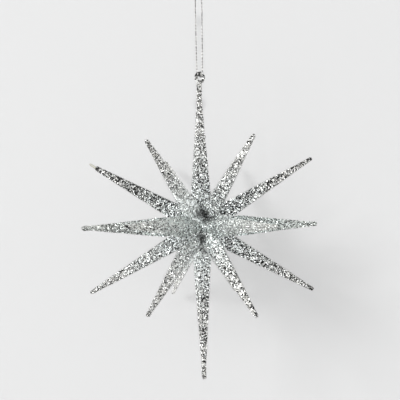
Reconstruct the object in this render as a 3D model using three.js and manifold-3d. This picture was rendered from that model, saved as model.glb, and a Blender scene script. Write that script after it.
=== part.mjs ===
// Hanging starburst ornament: twenty tapering four-sided rays plugged into a small
// faceted hub, hung by a moulded eyelet on the top ray from a doubled, knotted cord.
// Millimetres, +Z up. The origin is the hang point, right under the knot of the cord's loop.
// -Y is the ornament's front: the eyelet's hole runs along Y.
import * as THREE from 'three';
import { mergeVertices } from 'three/addons/utils/BufferGeometryUtils.js';
import Module from 'manifold-3d';

const wasm = await Module();
wasm.setup();

// ---------------------------------------------------------------- driving dimensions
const EYELET_DROP = 52;      // hang point down to the centre of the eyelet
const EYELET_RISE = 79.6;    // star centre up to the centre of the eyelet
const STAR_X = -0.4;         // star centre, sideways from the line of the cord
const GAP = 0.3;             // clearance between touching pieces

const HUB_FACE = 8.2;        // hub centre to each ray's flat seat
const HUB_BALL = 9.3;        // ball that the seats are cut from
const SOCKET_R = 1.35;
const SOCKET_FLOOR = 5.2;    // hub centre to the socket's floor
const PEG_R = 1.0;
const PEG_END = 5.6;         // hub centre to the end of a ray's peg
const RAY_START = HUB_FACE + GAP;

const EYE_RX = 2.75, EYE_RZ = 3.05;       // eyelet, outside half sizes
const HOLE_RX = 1.2, HOLE_RZ = 1.55;      // eyelet, hole half sizes
const HOLE_LOW = 0.3;                     // how far the hole's middle sits under the eyelet's
const EYE_THICK = 2.4;                    // eyelet, along Y
const NECK_END = 77.4;                    // star centre to the top of the neck

const CORD_R = 0.3;
const CORD_PATH_STEPS = 76;

// Side of a ray's square section, s millimetres from the star's centre, is a - b * s,
// and never less than end, so that the tips are blunt.
// turn is the section's turn about the ray's axis: 0 puts a flat face to the side.
const TIER = { a: 10.5, b: 0.130, end: 1.8, turn: 0 };
const TURNED = 38;           // turn of the front and back rays of a tier
const MIDDLE = { a: 10.6, b: 0.150, end: 1.75, turn: 45 };
const UPRIGHT = { a: 9.1, b: 0.097, end: 2.05, turn: -22 };

// Tips, from the star's centre. Small differences between rays are those of the real piece.
const RAYS = [
  { name: 'ray_top', tip: [-0.05, 0, 79.6], a: 10.2, b: 0.121, end: 2.2, turn: 22, neck: true },
  { name: 'ray_bottom', tip: [0.3, 0, -81.5], ...UPRIGHT },

  { name: 'ray_upper_right', tip: [59.6, 0, 35.6], ...TIER },
  { name: 'ray_upper_left', tip: [-59.1, 0, 34.0], ...TIER, bare: 3.6 },
  { name: 'ray_upper_front_right', tip: [23.1, -52.8, 38.8], ...TIER, turn: -TURNED },
  { name: 'ray_upper_front_left', tip: [-22.8, -54.4, 36.9], ...TIER, turn: TURNED },
  { name: 'ray_upper_back_right', tip: [21.7, 51.9, 40.9], ...TIER, turn: TURNED },
  { name: 'ray_upper_back_left', tip: [-22.1, 51.2, 41.5], ...TIER, turn: -TURNED },

  { name: 'ray_mid_right', tip: [61.8, 0, 0.5], ...MIDDLE, a: 11.0, b: 0.158 },
  { name: 'ray_mid_left', tip: [-64.0, 0, 0.0], ...MIDDLE, a: 10.3, b: 0.143 },
  { name: 'ray_mid_front_right', tip: [32.1, -54.4, -0.6], ...MIDDLE },
  { name: 'ray_mid_front_left', tip: [-32.1, -54.4, 0.5], ...MIDDLE },
  { name: 'ray_mid_back_right', tip: [31.5, 54.7, 0.7], ...MIDDLE },
  { name: 'ray_mid_back_left', tip: [-31.8, 54.6, -0.4], ...MIDDLE },

  { name: 'ray_lower_right', tip: [59.4, 0, -34.6], ...TIER },
  { name: 'ray_lower_left', tip: [-59.6, 0, -34.6], ...TIER },
  { name: 'ray_lower_front_right', tip: [23.1, -52.9, -38.9], ...TIER, turn: TURNED },
  { name: 'ray_lower_front_left', tip: [-23.5, -53.6, -37.7], ...TIER, turn: -TURNED },
  { name: 'ray_lower_back_right', tip: [21.0, 52.3, -40.8], ...TIER, turn: -TURNED },
  { name: 'ray_lower_back_left', tip: [-18.8, 51.9, -42.3], ...TIER, turn: TURNED },
];

// ---------------------------------------------------------------- solids
function solid(geometry) {
  let g = geometry.clone();
  for (const k of Object.keys(g.attributes)) if (k !== 'position') g.deleteAttribute(k);
  g = mergeVertices(g, 1e-5);
  const position = g.attributes.position.array;
  const index = g.index.array;
  // drop the zero-area triangles that a lathe leaves on its axis
  const kept = [];
  for (let i = 0; i < index.length; i += 3) {
    const [a, b, c] = [index[i], index[i + 1], index[i + 2]];
    if (a !== b && b !== c && c !== a) kept.push(a, b, c);
  }
  return new wasm.Manifold(new wasm.Mesh({
    numProp: 3,
    vertProperties: new Float32Array(position),
    triVerts: new Uint32Array(kept),
  }));
}

function geometryOf(manifold) {
  const mesh = manifold.getMesh();
  const g = new THREE.BufferGeometry();
  const points = new Float32Array(mesh.numVert * 3);
  for (let i = 0; i < mesh.numVert; i++) {
    for (let k = 0; k < 3; k++) points[3 * i + k] = mesh.vertProperties[mesh.numProp * i + k];
  }
  g.setAttribute('position', new THREE.BufferAttribute(points, 3));
  g.setIndex(new THREE.BufferAttribute(new Uint32Array(mesh.triVerts), 1));
  const flat = g.toNonIndexed();
  flat.computeVertexNormals();
  return flat;
}

// A lathe turned round +Z from [radius, height] pairs that start and end on the axis.
function turned(profile, segments) {
  const g = new THREE.LatheGeometry(profile.map(([r, z]) => new THREE.Vector2(r, z)), segments);
  g.rotateX(Math.PI / 2);
  return g;
}

// Ray frame: Z along the ray, X tangential and Y in the sense of rising elevation.
function rayMatrix(d) {
  const reference = Math.abs(d.z) > 0.9 ? new THREE.Vector3(0, 1, 0) : new THREE.Vector3(0, 0, 1);
  const y = reference.clone().addScaledVector(d, -reference.dot(d)).normalize();
  const x = new THREE.Vector3().crossVectors(y, d).normalize();
  return new THREE.Matrix4().makeBasis(x, y, d);
}

const direction = (ray) => new THREE.Vector3(...ray.tip).normalize();
const lengthOf = (ray) => new THREE.Vector3(...ray.tip).length();

// Everything on the far side of the plane n.x = offset, as a big slab.
function beyond(n, offset) {
  const slab = new THREE.BoxGeometry(120, 120, 60);
  slab.translate(0, 0, 30 + offset);
  slab.applyQuaternion(new THREE.Quaternion().setFromUnitVectors(new THREE.Vector3(0, 0, 1), n));
  return solid(slab);
}

// Radius of the four-sided lathe that has the wanted side of square.
const cornerRadius = (ray, s) => Math.max(ray.a - ray.b * s, ray.end) / Math.SQRT2;

// The outline from the seat on the hub up to s = stop, with a corner where the taper ends.
function taper(ray, stop) {
  const thin = (ray.a - ray.end) / ray.b;
  const out = [[0, RAY_START], [cornerRadius(ray, RAY_START), RAY_START]];
  if (thin < stop - 1) out.push([cornerRadius(ray, thin), thin]);
  out.push([cornerRadius(ray, stop), stop]);
  return out;
}

function raySolid(ray) {
  const d = direction(ray);
  const L = lengthOf(ray);
  const place = rayMatrix(d);
  let profile;
  if (ray.neck) {
    profile = [...taper(ray, NECK_END), [0, NECK_END]];
  } else if (ray.bare) {
    // the coat ends at a small shoulder and the last of the moulding stands bare
    const e = L - ray.bare;
    profile = [...taper(ray, e - 0.5), [0.8, e], [0.6, L - 0.3], [0.35, L], [0, L]];
  } else {
    const r = cornerRadius(ray, L - 1.1);
    profile = [...taper(ray, L - 1.1), [r * 0.86, L - 0.4], [r * 0.6, L], [0, L]];
  }
  const body = turned(profile, 4);
  body.rotateZ(THREE.MathUtils.degToRad(45 + ray.turn));
  body.applyMatrix4(place);
  let out = solid(body);

  // neighbouring rays share the space near the hub along the planes half-way between them
  for (const other of RAYS) {
    if (other === ray) continue;
    const n = direction(other).sub(d);
    if (d.angleTo(direction(other)) > 1.35) continue;
    out = out.subtract(beyond(n.normalize(), -GAP / 2));
  }

  const peg = turned([[0, PEG_END], [PEG_R * 0.8, PEG_END], [PEG_R, PEG_END + 0.3],
    [PEG_R, RAY_START + 0.5], [0, RAY_START + 0.5]], 10);
  peg.applyMatrix4(place);
  out = out.add(solid(peg));

  if (ray.neck) out = out.add(eyeletSolid());
  return out;
}

// The moulded ring on the top ray, with its hole along Y.
function eyeletSolid() {
  const outline = new THREE.Shape();
  const bevel = 0.55;
  outline.absellipse(0, 0, EYE_RX - bevel, EYE_RZ - bevel, 0, Math.PI * 2, false, 0);
  const hole = new THREE.Path();
  hole.absellipse(0, -HOLE_LOW, HOLE_RX + bevel, HOLE_RZ + bevel, 0, Math.PI * 2, true, 0);
  outline.holes.push(hole);
  const g = new THREE.ExtrudeGeometry(outline, {
    depth: EYE_THICK - 2 * bevel, curveSegments: 14,
    bevelEnabled: true, bevelThickness: bevel, bevelSize: bevel, bevelSegments: 3,
  });
  g.translate(0, 0, -(EYE_THICK - 2 * bevel) / 2);
  g.rotateX(Math.PI / 2);
  g.translate(-STAR_X, 0, EYELET_RISE);
  return solid(g);
}

function hubSolid() {
  let out = solid(new THREE.IcosahedronGeometry(HUB_BALL, 3));
  for (const ray of RAYS) {
    const d = direction(ray);
    out = out.subtract(beyond(d, HUB_FACE));
  }
  for (const ray of RAYS) {
    const socket = turned([[0, SOCKET_FLOOR], [SOCKET_R, SOCKET_FLOOR],
      [SOCKET_R, HUB_BALL + 1], [0, HUB_BALL + 1]], 12);
    socket.applyMatrix4(rayMatrix(direction(ray)));
    out = out.subtract(solid(socket));
  }
  return out;
}

// Half of the cord's line, from under the knot to the middle of the eyelet's hole. Heights
// below the first line are from the hang point, and the last ones from the eyelet's centre.
const E = -EYELET_DROP;
const HALF = [
  [-0.50, 0.00, -0.35], [-0.78, -0.02, -2.2], [-1.25, -0.05, -5.0], [-1.60, -0.10, -8.5],
  [-1.72, -0.16, -13.0], [-1.72, -0.28, -20.0], [-1.68, -0.48, -28.0], [-1.62, -0.78, -36.0],
  [-1.56, -1.15, -42.0], [-1.50, -1.60, -46.5], [-1.40, -1.92, E + 3.2], [-1.12, -2.02, E + 2.0],
  [-0.66, -1.94, E + 1.12], [-0.28, -1.45, E + 0.72], [-0.08, -0.70, E + 0.62],
];

function cordCurve() {
  const front = HALF.map((p) => new THREE.Vector3(...p));
  const back = HALF.map(([x, y, z]) => new THREE.Vector3(-x, -y, z)).reverse();
  return new THREE.CatmullRomCurve3([...front, new THREE.Vector3(0, 0, E + 0.6), ...back], false, 'centripetal');
}

function cordGeometry() {
  const section = new THREE.Shape();
  for (let i = 0; i <= 8; i++) {
    const t = (i / 8) * Math.PI * 2;
    const [x, y] = [CORD_R * Math.cos(t), CORD_R * Math.sin(t)];
    if (i === 0) section.moveTo(x, y); else if (i < 8) section.lineTo(x, y); else section.closePath();
  }
  return new THREE.ExtrudeGeometry(section, {
    steps: CORD_PATH_STEPS, bevelEnabled: false, extrudePath: cordCurve(), curveSegments: 1,
  });
}

// The knot that closes the loop: a lumpy wrap with the cord's two cut tails above it.
function knotSolid() {
  const lump = turned([[0, 0], [1.15, 0.0], [1.5, 0.5], [1.55, 1.3], [1.3, 2.0], [1.35, 2.5],
    [1.1, 3.1], [0.55, 3.4], [0, 3.4]], 14);
  let out = solid(lump);
  for (const [side, lean, rise] of [[-1, 0.34, 5.2], [1, 0.42, 4.4]]) {
    const tail = turned([[0, 0], [CORD_R, 0], [CORD_R, rise], [0, rise]], 8);
    tail.rotateY(side * lean);
    tail.translate(side * 0.35, side * 0.15, 2.4);
    out = out.add(solid(tail));
  }
  return out;
}

// ---------------------------------------------------------------- assembly
const paint = (color, roughness, metalness) => new THREE.MeshStandardMaterial({ color, roughness, metalness });

function node(name, geometry, material) {
  const mesh = new THREE.Mesh(geometry, material);
  mesh.name = name;
  return mesh;
}

const ornament = new THREE.Group();

const star = new THREE.Group();
star.position.set(STAR_X, 0, -EYELET_DROP - EYELET_RISE);
star.add(node('hub_core', geometryOf(hubSolid()), paint(0xa4a8a8, 0.45, 0.7)));
for (const ray of RAYS) {
  star.add(node(ray.name, geometryOf(raySolid(ray)), paint(0xb4b7b6, 0.4, 0.75)));
}
ornament.add(star);

const cordMesh = cordGeometry();
ornament.add(node('hanging_cord', cordMesh, paint(0xc3c2bd, 0.4, 0.8)));
ornament.add(node('cord_knot', geometryOf(knotSolid()), paint(0xc3c2bd, 0.4, 0.8)));

export default ornament;
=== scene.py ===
# Hanging glitter starburst: the finished look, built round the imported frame. Metres.
import math

import bmesh
import bpy
import numpy as np
from mathutils import Matrix, Vector


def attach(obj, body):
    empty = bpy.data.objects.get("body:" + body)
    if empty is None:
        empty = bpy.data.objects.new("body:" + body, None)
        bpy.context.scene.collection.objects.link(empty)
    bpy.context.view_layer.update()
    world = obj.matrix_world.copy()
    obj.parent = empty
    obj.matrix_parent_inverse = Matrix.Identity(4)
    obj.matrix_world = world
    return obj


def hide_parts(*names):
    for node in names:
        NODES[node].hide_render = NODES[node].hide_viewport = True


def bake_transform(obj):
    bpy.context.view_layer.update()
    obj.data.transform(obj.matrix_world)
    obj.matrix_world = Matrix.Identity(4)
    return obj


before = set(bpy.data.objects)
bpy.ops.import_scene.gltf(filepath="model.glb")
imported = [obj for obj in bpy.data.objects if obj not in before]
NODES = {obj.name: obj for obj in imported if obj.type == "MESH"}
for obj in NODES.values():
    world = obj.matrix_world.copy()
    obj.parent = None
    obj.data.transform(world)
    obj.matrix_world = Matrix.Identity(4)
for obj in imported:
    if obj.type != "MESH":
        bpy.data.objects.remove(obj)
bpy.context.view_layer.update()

MM = 0.001
STAR = Vector((-0.4 * MM, 0.0, -131.6 * MM))  # the star's centre
EYE = Vector((0.0, 0.0, -52.0 * MM))  # the centre of the eyelet's hole
scene = bpy.context.scene


# ------------------------------------------------------------------ camera
VIEW_DISTANCE = 0.262
cam_data = bpy.data.cameras.new("camera")
cam_data.lens = 44.1
cam_data.sensor_width = 36.0
cam_data.shift_x = -1.3 / 400
cam_data.shift_y = 26.5 / 400
cam_data.clip_start, cam_data.clip_end = 0.005, 20
cam = bpy.data.objects.new("camera", cam_data)
scene.collection.objects.link(cam)
cam.location = STAR + Vector((0, -VIEW_DISTANCE, 0))
cam.rotation_euler = (math.radians(90), math.radians(0.9), 0)
scene.camera = cam


# ------------------------------------------------------------------ helpers
def new_object(name, verts, faces, smooth=False):
    mesh = bpy.data.meshes.new(name)
    mesh.from_pydata([tuple(v) for v in verts], [], [tuple(f) for f in faces])
    mesh.validate()
    mesh.update()
    mesh.polygons.foreach_set("use_smooth", [smooth] * len(mesh.polygons))
    o = bpy.data.objects.new(name, mesh)
    scene.collection.objects.link(o)
    return o


def resample(points, step):
    points = np.asarray(points, float)
    along = np.concatenate([[0], np.cumsum(np.linalg.norm(np.diff(points, axis=0), axis=1))])
    n = max(2, int(round(along[-1] / step)) + 1)
    at = np.linspace(0, along[-1], n)
    return np.stack([np.interp(at, along, points[:, k]) for k in range(3)], 1), along[-1]


def catmull(points, n=24):
    """A centripetal Catmull-Rom line through points."""
    p = np.asarray(points, float)
    p = np.vstack([2 * p[0] - p[1], p, 2 * p[-1] - p[-2]])
    out = []
    for i in range(1, len(p) - 2):
        p0, p1, p2, p3 = p[i - 1 : i + 3]
        t0 = 0.0
        t1 = t0 + np.linalg.norm(p1 - p0) ** 0.5
        t2 = t1 + np.linalg.norm(p2 - p1) ** 0.5
        t3 = t2 + np.linalg.norm(p3 - p2) ** 0.5
        for t in np.linspace(t1, t2, n, endpoint=False):
            a1 = (t1 - t) / (t1 - t0) * p0 + (t - t0) / (t1 - t0) * p1
            a2 = (t2 - t) / (t2 - t1) * p1 + (t - t1) / (t2 - t1) * p2
            a3 = (t3 - t) / (t3 - t2) * p2 + (t - t2) / (t3 - t2) * p3
            b1 = (t2 - t) / (t2 - t0) * a1 + (t - t0) / (t2 - t0) * a2
            b2 = (t3 - t) / (t3 - t1) * a2 + (t - t1) / (t3 - t1) * a3
            out.append((t2 - t) / (t2 - t1) * b1 + (t - t1) / (t2 - t1) * b2)
    out.append(p[-2])
    return np.array(out)


def carried_frames(line):
    """Tangents with two normals that don't twist along the line."""
    t = np.gradient(line, axis=0)
    t /= np.linalg.norm(t, axis=1)[:, None]
    n = np.zeros_like(t)
    first = np.array([0.0, 1.0, 0.0])
    n[0] = first - t[0] * first.dot(t[0])
    n[0] /= np.linalg.norm(n[0])
    for i in range(1, len(line)):
        v = n[i - 1] - t[i] * n[i - 1].dot(t[i])
        n[i] = v / np.linalg.norm(v)
    return t, n, np.cross(t, n)


def tube(line, radius, sides=8, flatten=None):
    """Vertices and faces of a closed tube along a line. radius is a number or one for each point."""
    _, n, b = carried_frames(line)
    radius = np.broadcast_to(radius, (len(line),))
    verts, faces = [], []
    for i in range(len(line)):
        for k in range(sides):
            a = 2 * math.pi * k / sides
            verts.append(line[i] + radius[i] * (math.cos(a) * n[i] + math.sin(a) * b[i]))
    for i in range(len(line) - 1):
        for k in range(sides):
            j = (k + 1) % sides
            faces.append((i * sides + k, i * sides + j, (i + 1) * sides + j, (i + 1) * sides + k))
    faces.append(tuple(reversed(range(sides))))
    faces.append(tuple((len(line) - 1) * sides + k for k in range(sides)))
    return verts, faces


def plies(line, cord_diameter, pitch, ply_radius, sides=7, phase=0.0):
    """Two plies twisted round the line, as vertices and faces."""
    _, n, b = carried_frames(line)
    along = np.concatenate([[0], np.cumsum(np.linalg.norm(np.diff(line, axis=0), axis=1))])
    reach = cord_diameter / 2 - ply_radius
    verts, faces = [], []
    for side in (0, math.pi):
        a = 2 * math.pi * along / pitch + side + phase
        centre = line + reach * (np.cos(a)[:, None] * n + np.sin(a)[:, None] * b)
        v, f = tube(centre, ply_radius, sides)
        faces += [tuple(i + len(verts) for i in face) for face in f]
        verts += v
    return verts, faces


# ------------------------------------------------------------------ materials
def node_tree(name):
    m = bpy.data.materials.new(name)
    m.use_nodes = True
    nt = m.node_tree
    nt.nodes.clear()
    out = nt.nodes.new("ShaderNodeOutputMaterial")
    bsdf = nt.nodes.new("ShaderNodeBsdfPrincipled")
    nt.links.new(bsdf.outputs[0], out.inputs[0])
    return m, nt, bsdf


def math_node(nt, kind, a, b=None, clamp=False):
    n = nt.nodes.new("ShaderNodeMath")
    n.operation = kind
    n.use_clamp = clamp
    for k, v in enumerate((a, b)):
        if v is None:
            continue
        if isinstance(v, (int, float)):
            n.inputs[k].default_value = v
        else:
            nt.links.new(v, n.inputs[k])
    return n.outputs[0]


def map_range(nt, value, a, b, c, d):
    n = nt.nodes.new("ShaderNodeMapRange")
    n.clamp = True
    nt.links.new(value, n.inputs["Value"])
    for k, v in zip(("From Min", "From Max", "To Min", "To Max"), (a, b, c, d)):
        n.inputs[k].default_value = v
    return n.outputs["Result"]


def mix_colour(nt, fac, a, b, kind="MIX"):
    n = nt.nodes.new("ShaderNodeMix")
    n.data_type = "RGBA"
    n.blend_type = kind
    for socket, v in ((n.inputs[0], fac), (n.inputs[6], a), (n.inputs[7], b)):
        if isinstance(v, (int, float)):
            socket.default_value = v
        elif isinstance(v, tuple):
            socket.default_value = (*v, 1.0)
        else:
            nt.links.new(v, socket)
    return n.outputs[2]


# bottoms of the crevices, in mm from the star's centre, how far each patch of painted shade reaches, and its darkness
PAINTED_CREVICE_SHADE = [
    ((1.9, -13.0, 5.3), 4.4, 0.22), ((2.4, -14.5, 8.6), 3.6, 0.26), ((4.9, -14.0, 5.0), 3.0, 0.45),
    ((-0.8, -14.5, 6.5), 3.4, 0.4), ((-2.2, -15.5, 8.0), 4.8, 0.62), ((-2.8, -13.6, 3.8), 3.2, 0.72),
    ((0.7, -13.0, -5.4), 3.6, 0.16), ((0.7, -14.0, -8.2), 3.2, 0.2),
    ((1.0, -13.2, -10.6), 3.0, 0.4), ((2.0, -3.7, -12.7), 3.4, 0.45),
    ((-1.9, 13.0, 5.3), 4.2, 0.2), ((-0.7, 13.0, -5.4), 4.0, 0.2),
]


def grey_of(nt, value):
    n = nt.nodes.new("ShaderNodeCombineColor")
    for k in range(3):
        nt.links.new(value, n.inputs[k])
    return n.outputs[0]


def glitter(name, seed, near=0.54, far=0.54, side=(0.0, 0.0, 0.0), dark=0.02, light=1.0, width=0.08, tilt=1.4, size=0.41, tint=(1.0, 1.0, 1.0), floor=(0.0, 0.0), lean=(0.0, 0.0, 0.0), glint=1.0, reach=0.080):
    """Loose-laid flakes: each cell is one flake with its own tilt, brightness, gloss and slight tint."""
    m, nt, bsdf = node_tree(name)
    coord = nt.nodes.new("ShaderNodeTexCoord")
    shift = nt.nodes.new("ShaderNodeVectorMath")
    shift.operation = "ADD"
    shift.inputs[1].default_value = (0.37 * seed, 0.11 * seed, 0.23 * seed)
    nt.links.new(coord.outputs["Object"], shift.inputs[0])

    cells = nt.nodes.new("ShaderNodeTexVoronoi")
    cells.voronoi_dimensions = "3D"
    cells.feature = "F1"
    cells.inputs["Scale"].default_value = 1000.0 / size
    nt.links.new(shift.outputs[0], cells.inputs["Vector"])
    split = nt.nodes.new("ShaderNodeSeparateColor")
    nt.links.new(cells.outputs["Color"], split.inputs[0])
    r, g, b = split.outputs

    # brightness of each flake, painted into its colour: some stand for flakes turned away from the light and are
    # painted nearly black as shade, most are silver, and a few are painted full white as glints.
    # near and far are the shares of silver ones by the hub and at the tip, and side adds to one flank; besides the
    # coat's own unevenness these carry painted light and shade, raised by the hub where shade falls and set flank by
    # flank as the light falls
    away = nt.nodes.new("ShaderNodeVectorMath")
    away.operation = "DISTANCE"
    nt.links.new(coord.outputs["Object"], away.inputs[0])
    away.inputs[1].default_value = tuple(STAR)
    flank = nt.nodes.new("ShaderNodeVectorMath")
    flank.operation = "DOT_PRODUCT"
    nt.links.new(coord.outputs["Normal"], flank.inputs[0])
    flank.inputs[1].default_value = side
    silver = math_node(nt, "ADD", map_range(nt, away.outputs["Value"], 0.016, 0.048, near, far), flank.outputs["Value"])
    # lean adds across a face, per metre from the star's centre, a painted gradient of light and shade across the ray
    across = nt.nodes.new("ShaderNodeVectorMath")
    across.operation = "DOT_PRODUCT"
    nt.links.new(coord.outputs["Object"], across.inputs[0])
    across.inputs[1].default_value = lean
    silver = math_node(nt, "ADD", silver, math_node(nt, "SUBTRACT", across.outputs["Value"], STAR.dot(Vector(lean))))
    # the blunt tips have been handled, and shine less
    worn = map_range(nt, away.outputs["Value"], reach - 0.0045, reach - 0.0005, 0.0, 1.0)
    silver = math_node(nt, "SUBTRACT", silver, math_node(nt, "MULTIPLY", worn, 0.14))
    value = map_range(nt, math_node(nt, "ADD", r, silver), 1 - width / 2, 1 + width / 2, dark, light)
    # on some rays the dark flakes are raised to a floor of brightness, higher towards the tip
    value = math_node(nt, "MAXIMUM", value, map_range(nt, away.outputs["Value"], 0.020, 0.048, *floor))
    value = math_node(nt, "MULTIPLY", value, map_range(nt, b, 0.0, 1.0, 0.74, 1.0))
    # painted glints: a few flakes are painted full white
    painted_glint = math_node(nt, "MULTIPLY", map_range(nt, g, 0.93, 0.94, 0.0, 1.0), math_node(nt, "SUBTRACT", 1.0, worn))
    value = math_node(nt, "MAXIMUM", value, math_node(nt, "MULTIPLY", painted_glint, glint))
    grey = nt.nodes.new("ShaderNodeCombineColor")
    for k in range(3):
        nt.links.new(value, grey.inputs[k])
    # each flake's own slight tint
    hue = nt.nodes.new("ShaderNodeValToRGB")
    hue.color_ramp.interpolation = "CONSTANT"
    stops = [(0.0, (1.0, 0.985, 0.965)), (0.3, (1, 1, 1)), (0.62, (0.965, 0.99, 1.0)), (0.82, (0.985, 1.0, 0.975)), (0.93, (0.99, 0.97, 1.0))]
    hue.color_ramp.elements[0].position = 0.0
    hue.color_ramp.elements[0].color = (*stops[0][1], 1)
    hue.color_ramp.elements[1].position = stops[1][0]
    hue.color_ramp.elements[1].color = (*stops[1][1], 1)
    for at, c in stops[2:]:
        e = hue.color_ramp.elements.new(at)
        e.color = (*c, 1)
    nt.links.new(b, hue.inputs[0])
    colour = mix_colour(nt, 1.0, grey.outputs[0], hue.outputs[0], "MULTIPLY")
    # painted reflection: cooler near the middle, a little warmer at the tips, as the rays face each other or the room
    warm = map_range(nt, away.outputs["Value"], 0.018, 0.052, 0.0, 1.0)
    painted_reflection_cast = mix_colour(nt, warm, (0.962, 1.0, 0.990), (1.0, 0.996, 0.972))
    colour = mix_colour(nt, 1.0, colour, painted_reflection_cast, "MULTIPLY")
    colour = mix_colour(nt, 1.0, colour, tint, "MULTIPLY")
    # painted shade: the bottoms of the crevices between the front rays, and the back ones, are darkened where shade
    # falls between the rays
    for place, wide, floor in PAINTED_CREVICE_SHADE:
        gap = nt.nodes.new("ShaderNodeVectorMath")
        gap.operation = "DISTANCE"
        nt.links.new(coord.outputs["Object"], gap.inputs[0])
        gap.inputs[1].default_value = tuple(STAR + Vector(place) * MM)
        shade = map_range(nt, gap.outputs["Value"], 0.25 * wide * MM, wide * MM, floor, 1.0)
        colour = mix_colour(nt, 1.0, colour, grey_of(nt, shade), "MULTIPLY")
    nt.links.new(colour, bsdf.inputs["Base Color"])

    nt.links.new(map_range(nt, b, 0.0, 1.0, 0.21, 0.50), bsdf.inputs["Roughness"])
    bsdf.inputs["Metallic"].default_value = 0.78

    # the flake's own tilt
    geo = nt.nodes.new("ShaderNodeNewGeometry")
    lean = nt.nodes.new("ShaderNodeVectorMath")
    lean.operation = "SUBTRACT"
    nt.links.new(cells.outputs["Color"], lean.inputs[0])
    lean.inputs[1].default_value = (0.5, 0.5, 0.5)
    scaled = nt.nodes.new("ShaderNodeVectorMath")
    scaled.operation = "SCALE"
    nt.links.new(lean.outputs[0], scaled.inputs[0])
    scaled.inputs["Scale"].default_value = tilt
    add = nt.nodes.new("ShaderNodeVectorMath")
    add.operation = "ADD"
    nt.links.new(geo.outputs["Normal"], add.inputs[0])
    nt.links.new(scaled.outputs[0], add.inputs[1])
    unit = nt.nodes.new("ShaderNodeVectorMath")
    unit.operation = "NORMALIZE"
    nt.links.new(add.outputs[0], unit.inputs[0])
    nt.links.new(unit.outputs[0], bsdf.inputs["Normal"])
    return m


def thread_material():
    m, nt, bsdf = node_tree("silver_thread")
    coord = nt.nodes.new("ShaderNodeTexCoord")
    foil = nt.nodes.new("ShaderNodeTexVoronoi")
    foil.inputs["Scale"].default_value = 2200.0
    nt.links.new(coord.outputs["Object"], foil.inputs["Vector"])
    split = nt.nodes.new("ShaderNodeSeparateColor")
    nt.links.new(foil.outputs["Color"], split.inputs[0])
    value = map_range(nt, split.outputs[0], 0.35, 0.75, 0.06, 0.50)
    # the foil's winding shows as short dashes along the cord
    place = nt.nodes.new("ShaderNodeSeparateXYZ")
    nt.links.new(coord.outputs["Object"], place.inputs[0])
    dash = math_node(nt, "SINE", math_node(nt, "MULTIPLY", place.outputs[2], 2 * math.pi / (1.7 * MM)))
    value = math_node(nt, "MULTIPLY", value, map_range(nt, dash, -0.75, -0.1, 0.04, 1.7))
    grey = nt.nodes.new("ShaderNodeCombineColor")
    for k in range(3):
        nt.links.new(value, grey.inputs[k])
    colour = mix_colour(nt, 1.0, grey.outputs[0], (1.0, 0.985, 0.955), "MULTIPLY")
    nt.links.new(colour, bsdf.inputs["Base Color"])
    nt.links.new(map_range(nt, split.outputs[1], 0.0, 1.0, 0.35, 0.6), bsdf.inputs["Roughness"])
    bsdf.inputs["Metallic"].default_value = 0.35
    bump = nt.nodes.new("ShaderNodeBump")
    bump.inputs["Strength"].default_value = 0.35
    bump.inputs["Distance"].default_value = 0.00004
    nt.links.new(foil.outputs["Distance"], bump.inputs["Height"])
    nt.links.new(bump.outputs[0], bsdf.inputs["Normal"])
    return m


def bare_plastic():
    m, nt, bsdf = node_tree("bare_plastic")
    coord = nt.nodes.new("ShaderNodeTexCoord")
    noise = nt.nodes.new("ShaderNodeTexNoise")
    noise.inputs["Scale"].default_value = 900.0
    noise.inputs["Detail"].default_value = 4.0
    nt.links.new(coord.outputs["Object"], noise.inputs["Vector"])
    colour = mix_colour(nt, noise.outputs[0], (0.27, 0.265, 0.225), (0.36, 0.355, 0.31))
    nt.links.new(colour, bsdf.inputs["Base Color"])
    nt.links.new(map_range(nt, noise.outputs[0], 0.3, 0.7, 0.24, 0.42), bsdf.inputs["Roughness"])
    bsdf.inputs["Subsurface Weight"].default_value = 0.2
    bsdf.inputs["Specular IOR Level"].default_value = 0.3
    bsdf.inputs["Subsurface Radius"].default_value = (0.002, 0.0018, 0.0014)
    bsdf.inputs["Subsurface Scale"].default_value = 0.5
    bump = nt.nodes.new("ShaderNodeBump")
    bump.inputs["Strength"].default_value = 0.2
    bump.inputs["Distance"].default_value = 0.00005
    nt.links.new(noise.outputs[0], bump.inputs["Height"])
    nt.links.new(bump.outputs[0], bsdf.inputs["Normal"])
    return m


# ------------------------------------------------------------------ the cord, first
CORD_D = 0.6 * MM
E = EYE.z / MM
HALF = [
    (-0.50, 0.00, -0.35), (-0.78, -0.02, -2.2), (-1.25, -0.05, -5.0), (-1.60, -0.10, -8.5),
    (-1.72, -0.16, -13.0), (-1.72, -0.28, -20.0), (-1.68, -0.48, -28.0), (-1.62, -0.78, -36.0),
    (-1.56, -1.15, -42.0), (-1.50, -1.60, -46.5), (-1.40, -1.92, E + 3.2), (-1.12, -2.02, E + 2.0),
    (-0.66, -1.94, E + 1.12), (-0.28, -1.45, E + 0.72), (-0.08, -0.70, E + 0.62),
]
route = [(x, y, z) for x, y, z in HALF] + [(0.0, 0.0, E + 0.6)] + [(-x, -y, z) for x, y, z in reversed(HALF)]
line, cord_length = resample(catmull(np.array(route) * MM), 0.16 * MM)
verts, faces = plies(line, CORD_D, 3.2 * MM, 0.17 * MM)
cord = new_object("silver_cord", verts, faces, smooth=True)
THREAD = thread_material()
cord.data.materials.append(THREAD)


# ------------------------------------------------------------------ the knot
def knot_line():
    """An overhand knot's line, pulled tight: in from below, round, through and out above."""
    t = np.linspace(0, 1, 15)
    points = []
    for u in t:
        a = 2 * math.pi * (1.62 * u) + 0.5
        r = 0.95 + 0.22 * math.sin(2 * math.pi * 2.0 * u)
        points.append((r * math.cos(a), r * math.sin(a) * 0.9, 1.62 + 0.92 * math.sin(2 * math.pi * 1.5 * u + 0.4)))
    return points


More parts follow.
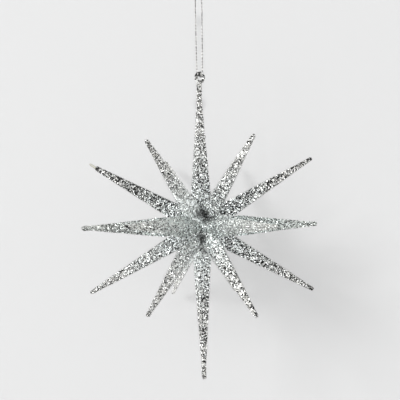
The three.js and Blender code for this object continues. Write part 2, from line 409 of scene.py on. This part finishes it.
def knot_strand(offset, tail):
    ox, oy = offset
    inner = [(x + ox * 0.4, y + oy * 0.4, z + 0.12 * (ox + oy)) for x, y, z in knot_line()]
    points = [(ox * 1.1, oy * 0.2, -0.3), (ox * 0.9, oy * 0.5, 0.35)] + inner + [(0.1 + ox * 0.5, oy * 0.5, 2.9)] + tail
    return catmull(np.array(points) * MM, 10)


verts, faces = [], []
for offset, tail in (
    ((-0.42, 0.3), [(-0.65, -0.05, 4.2), (-1.25, -0.12, 5.6), (-2.0, -0.2, 7.0)]),
    ((0.42, -0.3), [(0.7, 0.1, 4.0), (1.35, 0.16, 5.2), (2.05, 0.2, 6.3)]),
):
    knot_path, _ = resample(knot_strand(offset, tail), 0.16 * MM)
    v, f = plies(knot_path, CORD_D, 3.2 * MM, 0.17 * MM)
    faces += [tuple(i + len(verts) for i in face) for face in f]
    verts += v
knot = new_object("silver_knot", verts, faces, smooth=True)
knot.data.materials.append(THREAD)
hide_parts("cord_knot")
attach(knot, "hanger")

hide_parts("hanging_cord")
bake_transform(cord)


# ------------------------------------------------------------------ the glitter coat
GRAIN = 0.40 * MM
# share of light, contrast and grain of each ray's coat, which is laid by hand and never quite even. The near and far
# shares, side and lean also carry painted light and shade, set ray by ray to how the light falls on each, and the tints
# on the middle rays carry on the painted cool reflection of the middle
COAT_TONE_AND_PAINTED_LIGHT = {
    "hub_core": dict(near=0.56, far=0.56),
    "ray_top": dict(near=0.52, far=0.52, side=(0.05, 0.0, 0.0), size=0.47),
    "ray_bottom": dict(near=0.67, far=0.46, size=0.47),
    "ray_upper_left": dict(near=0.39, far=0.31, dark=0.04, lean=(-15.0, 0.0, -26.0), size=0.45),
    "ray_upper_right": dict(near=0.45, far=0.46, lean=(8.0, 0.0, -14.0), size=0.46),
    "ray_lower_left": dict(near=0.44, far=0.42, dark=0.07, size=0.39),
    "ray_lower_right": dict(near=0.44, far=0.44, lean=(8.0, 0.0, 14.0), size=0.46),
    "ray_mid_left": dict(near=0.58, far=0.37, dark=0.05, floor=(0.0, 0.16), side=(0.0, 0.0, 0.03), tint=(0.972, 1.0, 0.988)),
    "ray_mid_right": dict(near=0.57, far=0.53, dark=0.05, side=(0.0, 0.0, -0.03), size=0.41, tint=(0.955, 1.0, 0.988)),
    "ray_upper_front_left": dict(near=0.90, far=0.56, dark=0.04, side=(0.10, 0.0, 0.09)),
    "ray_upper_front_right": dict(near=0.44, far=0.56, dark=0.08, size=0.39),
    "ray_lower_front_left": dict(near=0.55, far=0.53, dark=0.06, size=0.38),
    "ray_lower_front_right": dict(near=0.66, far=0.50, size=0.42),
    "ray_mid_front_left": dict(near=0.66, far=0.62, dark=0.03, tint=(0.985, 1.0, 0.99)),
    # the back rays' shares are raised, painted light where less light reaches the back
    "ray_upper_back_left": dict(near=0.72, far=0.70), "ray_upper_back_right": dict(near=0.72, far=0.70),
    "ray_lower_back_left": dict(near=0.74, far=0.72), "ray_lower_back_right": dict(near=0.74, far=0.72),
    "ray_mid_back_left": dict(near=0.76, far=0.72), "ray_mid_back_right": dict(near=0.76, far=0.72),
    "ray_mid_front_right": dict(near=0.41, far=0.46, dark=0.10, floor=(0.24, 0.40), glint=0.76, size=0.36, tint=(0.982, 1.0, 0.992)),
}


BARE_TIP = Vector((-59.1, 0.0, 34.0)) * MM  # from the star's centre
BARE_LENGTH, BARE_WAY = BARE_TIP.length, BARE_TIP.normalized()


def coat(node, rng):
    """The node's own surface, remade as overlapping flake-sized facets."""
    source = NODES[node]
    o = source.copy()
    o.data = source.data.copy()
    for k in [k for k in o.keys() if k.startswith("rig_")]:
        del o[k]
    o.parent = None
    o.matrix_world = Matrix.Identity(4)
    o.name = node + "_coat"
    scene.collection.objects.link(o)
    o.hide_set(False)
    o.hide_render = False
    bm = bmesh.new()
    bm.from_mesh(o.data)
    bmesh.ops.remove_doubles(bm, verts=bm.verts, dist=1e-7)
    if node == "ray_upper_left":
        # the coat ends where the moulding stands bare
        cut = bmesh.ops.bisect_plane(bm, geom=bm.verts[:] + bm.edges[:] + bm.faces[:], dist=1e-7, plane_co=STAR + BARE_WAY * (BARE_LENGTH - 3.75 * MM), plane_no=BARE_WAY, clear_outer=True)
        bmesh.ops.holes_fill(bm, edges=[e for e in cut["geom_cut"] if isinstance(e, bmesh.types.BMEdge)], sides=0)
    bm.to_mesh(o.data)
    bm.free()
    mod = o.modifiers.new("remesh", "REMESH")
    mod.mode = "VOXEL"
    mod.voxel_size = GRAIN
    mod.adaptivity = 0
    dg = bpy.context.evaluated_depsgraph_get()
    mesh = bpy.data.meshes.new_from_object(o.evaluated_get(dg))
    o.modifiers.clear()
    old = o.data
    o.data = mesh
    bpy.data.meshes.remove(old)
    mesh.name = node + "_coat"
    n = len(mesh.vertices)
    co = np.zeros(n * 3)
    mesh.vertices.foreach_get("co", co)
    co = co.reshape(-1, 3)
    no = np.zeros(n * 3)
    mesh.vertices.foreach_get("normal", no)
    no = no.reshape(-1, 3)
    jitter = rng.normal(0, 1, (n, 3))
    jitter -= no * (jitter * no).sum(1)[:, None]
    middle = np.clip(1 - (np.linalg.norm(co - np.array(STAR), axis=1) / MM - 16.0) / 5.0, 0, 1)
    out = rng.normal(0.03, 0.075, n) + 0.14 * middle
    out += np.where(rng.random(n) < 0.10, rng.uniform(0.05, 0.22, n), 0.0)
    co = co + no * (out * MM)[:, None] + jitter * 0.085 * MM
    mesh.vertices.foreach_set("co", co.ravel())
    bm = bmesh.new()
    bm.from_mesh(mesh)
    bmesh.ops.triangulate(bm, faces=bm.faces, quad_method="SHORT_EDGE")
    bm.to_mesh(mesh)
    bm.free()
    mesh.polygons.foreach_set("use_smooth", [False] * len(mesh.polygons))
    mesh.materials.clear()
    mesh.update()
    return o


rng = np.random.default_rng(20)
star_nodes = [n for n in NODES if n.startswith("ray_") or n == "hub_core"]
for i, node in enumerate(sorted(star_nodes)):
    o = coat(node, rng)
    reach = max((v.co - STAR).length for v in o.data.vertices)
    o.data.materials.append(glitter(node + "_glitter", i + 1, reach=reach, **COAT_TONE_AND_PAINTED_LIGHT.get(node, {})))
    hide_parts(node)
    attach(o, "star")


# the last few millimetres of the upper left ray stand bare, a little bent
n = 22
bare_line = [
    STAR + BARE_WAY * (BARE_LENGTH - (5.4 - 5.5 * t) * MM) + Vector((0, 0, 1)) * (0.30 * t * t * MM) for t in np.linspace(0, 1, n)
]
bare_r = np.array([0.78 - 0.20 * t for t in np.linspace(0, 1, n)])
bare_r[-3:] = [0.55, 0.46, 0.26]
bare_r *= 1 + 0.04 * np.sin(np.arange(n) * 1.7)
verts, faces = tube(np.array([tuple(p) for p in bare_line]), bare_r * MM, 18)
bare = new_object("bare_tip", verts, faces, smooth=True)
bare.data.materials.append(bare_plastic())
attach(bare, "star")

# ------------------------------------------------------------------ stage and light
def paint(name, low, high):
    m, nt, bsdf = node_tree(name)
    coord = nt.nodes.new("ShaderNodeTexCoord")
    noise = nt.nodes.new("ShaderNodeTexNoise")
    noise.inputs["Scale"].default_value = 4.0
    nt.links.new(coord.outputs["Object"], noise.inputs["Vector"])
    nt.links.new(mix_colour(nt, noise.outputs[0], low, high), bsdf.inputs["Base Color"])
    bsdf.inputs["Roughness"].default_value = 0.95
    bsdf.inputs["Specular IOR Level"].default_value = 0.05
    return m, nt, bsdf


def stage():
    # a pale wall right behind the back tips, open from behind so that the back can be looked at
    far, y, floor_z = 3.0, 60.0 * MM, -0.46
    o = new_object("wall", [(-far, y, floor_z), (far, y, floor_z), (far, y, far), (-far, y, far)], [(0, 1, 2, 3)])
    m, nt, bsdf = paint("wall_paint", (0.410, 0.410, 0.410), (0.418, 0.418, 0.418))
    clear = nt.nodes.new("ShaderNodeBsdfTransparent")
    geo = nt.nodes.new("ShaderNodeNewGeometry")
    mix = nt.nodes.new("ShaderNodeMixShader")
    nt.links.new(geo.outputs["Backfacing"], mix.inputs[0])
    nt.links.new(bsdf.outputs[0], mix.inputs[1])
    nt.links.new(clear.outputs[0], mix.inputs[2])
    nt.links.new(mix.outputs[0], nt.nodes["Material Output"].inputs[0])
    o.data.materials.append(m)
    floor = new_object("floor", [(-far, -far, floor_z), (far, -far, floor_z), (far, far, floor_z), (-far, far, floor_z)], [(0, 1, 2, 3)])
    floor.data.materials.append(paint("floor_paint", (0.61, 0.61, 0.61), (0.63, 0.63, 0.63))[0])


stage()

world = bpy.data.worlds.new("world")
scene.world = world
world.use_nodes = True
bg = world.node_tree.nodes["Background"]
bg.inputs[0].default_value = (0.99, 0.995, 1.0, 1)
bg.inputs[1].default_value = 0.85


def area(name, way, distance, size, power, colour=(1, 1, 1)):
    place = STAR + Vector(way).normalized() * distance
    data = bpy.data.lights.new(name, "AREA")
    data.shape = "DISK"
    data.size = size
    data.energy = power
    data.color = colour
    o = bpy.data.objects.new(name, data)
    scene.collection.objects.link(o)
    o.location = place
    o.rotation_euler = (STAR - place).to_track_quat("-Z", "Y").to_euler()
    return o


# the window: left, above and in front, wide enough that the shadow on the wall stays soft
area("window", (-64, -60, 40), 8.0, 2.4, 378.0)
# a smaller lamp nearer the camera, whose thin shadows lie just right of the upright rays
area("lamp", (-40, -60, 18), 2.6, 0.20, 4.0)
# the room's light from round the camera, whose shadows the star hides
area("room", (0, -1, 0), 6.0, 0.48, 282.0)

scene.view_settings.view_transform = "Standard"
scene.view_settings.look = "None"
scene.view_settings.exposure = 0.0
scene.view_settings.gamma = 1.0
